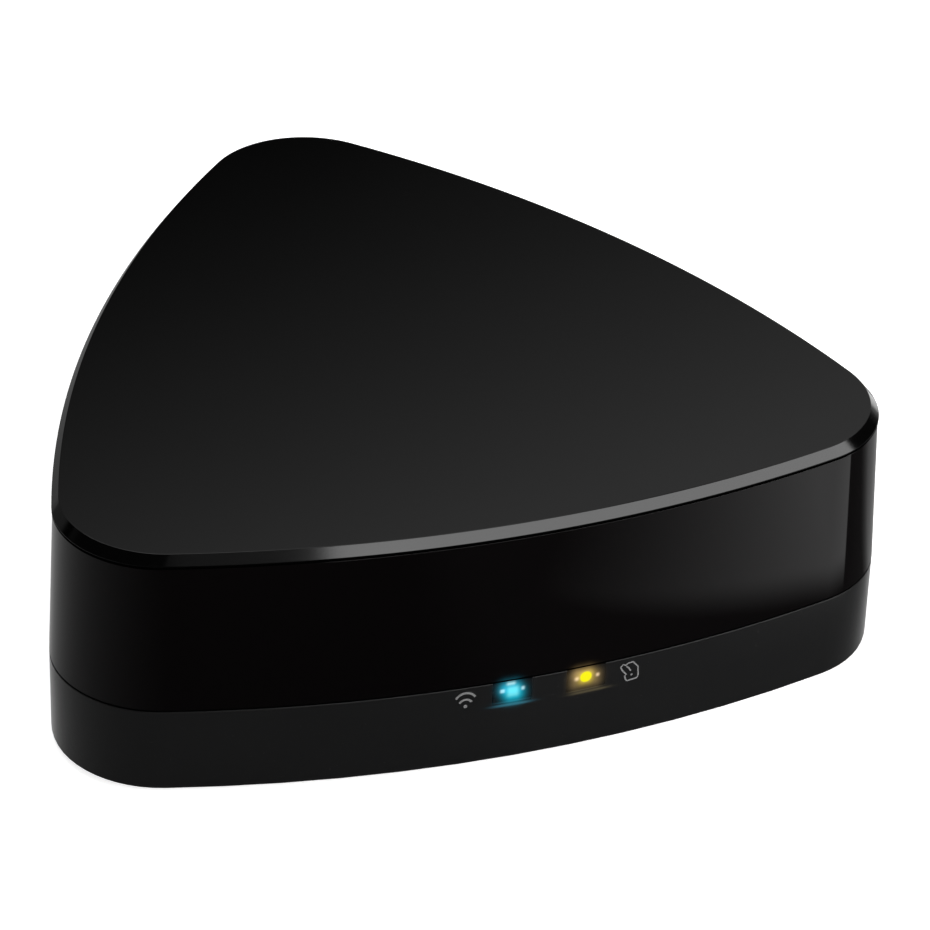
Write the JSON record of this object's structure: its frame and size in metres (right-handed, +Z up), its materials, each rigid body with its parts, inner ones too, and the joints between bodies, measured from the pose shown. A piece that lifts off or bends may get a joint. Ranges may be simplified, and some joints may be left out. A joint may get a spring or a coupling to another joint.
{
  "type": "smart infrared remote-control hub",
  "caption": "Low rounded-triangle hub with a matt base, a glossy infrared-pass cover, a bevelled top plate and lit status windows.",
  "frame": {"origin": "middle of the footprint's box, on the plane that the three feet stand on", "axes": "+Z up, -Y towards the front with the light windows, +X to the right seen from the front"},
  "size_m": [0.1178, 0.1118, 0.0378],
  "materials": {
    "base_plastic": "black, fine spark-eroded texture",
    "cover_plastic": "infrared-pass, near black, polished",
    "plate_plastic": "black, polished with a bevelled edge",
    "window_plastic": "smoked clear, polished",
    "foot_rubber": "matt black",
    "screw_steel": "zinc-plated",
    "board_laminate": "green solder mask",
    "socket_metal": "nickel-plated",
    "socket_plastic": "black moulded",
    "button_plastic": "satin black",
    "switch_plastic": "dark grey moulded",
    "plunger_plastic": "natural moulded",
    "module_laminate": "black solder mask",
    "shield_metal": "tin-plated",
    "emitter_epoxy": "clear epoxy with a blue tint",
    "receiver_epoxy": "dark infrared-pass epoxy",
    "lead_metal": "tinned",
    "led_blue": "lit cyan-blue lens between white-metal pads",
    "led_yellow": "lit yellow lens between white-metal pads",
    "chip_epoxy": "black moulded",
    "ferrite": "dark grey",
    "can_aluminium": "satin",
    "crystal_metal": "nickel-plated",
    "ceramic": "tan ceramic"
  },
  "bodies": {
    "housing": {"base_shell": "base_plastic", "ir_cover": "cover_plastic", "top_plate": "plate_plastic", "window_left": "window_plastic", "window_right": "window_plastic", "foot_1": "foot_rubber", "foot_2": "foot_rubber", "foot_3": "foot_rubber", "case_screws": "screw_steel", "board_screws": "screw_steel", "main_board": "board_laminate", "usb_shell": "socket_metal", "usb_insert": "socket_plastic", "reset_switch": "switch_plastic", "wifi_module": "module_laminate", "wifi_shield": "shield_metal", "ir_emitter_1": "emitter_epoxy", "ir_emitter_2": "emitter_epoxy", "ir_emitter_3": "emitter_epoxy", "ir_emitter_4": "emitter_epoxy", "ir_emitter_5": "emitter_epoxy", "ir_emitter_6": "emitter_epoxy", "ir_emitter_7": "emitter_epoxy", "emitter_leads": "lead_metal", "ir_receiver": "receiver_epoxy", "receiver_leads": "lead_metal", "wifi_led": "led_blue", "learn_led": "led_yellow", "mcu_chip": "chip_epoxy", "flash_chip": "chip_epoxy", "regulator": "chip_epoxy", "power_inductor": "ferrite", "bulk_capacitor": "can_aluminium", "crystal": "crystal_metal", "driver_transistors": "chip_epoxy", "resistors": "chip_epoxy", "ceramic_capacitors": "ceramic"},
    "reset_key": {"reset_button": "button_plastic", "reset_plunger": "plunger_plastic"}
  },
  "joints": [
    {"name": "reset_press", "type": "slide", "parent": "housing", "child": "reset_key", "axis": [-0.8291, -0.5591, 0], "range_m": [0, 0.0003], "stiffness_N_per_m": 4000}
  ]
}
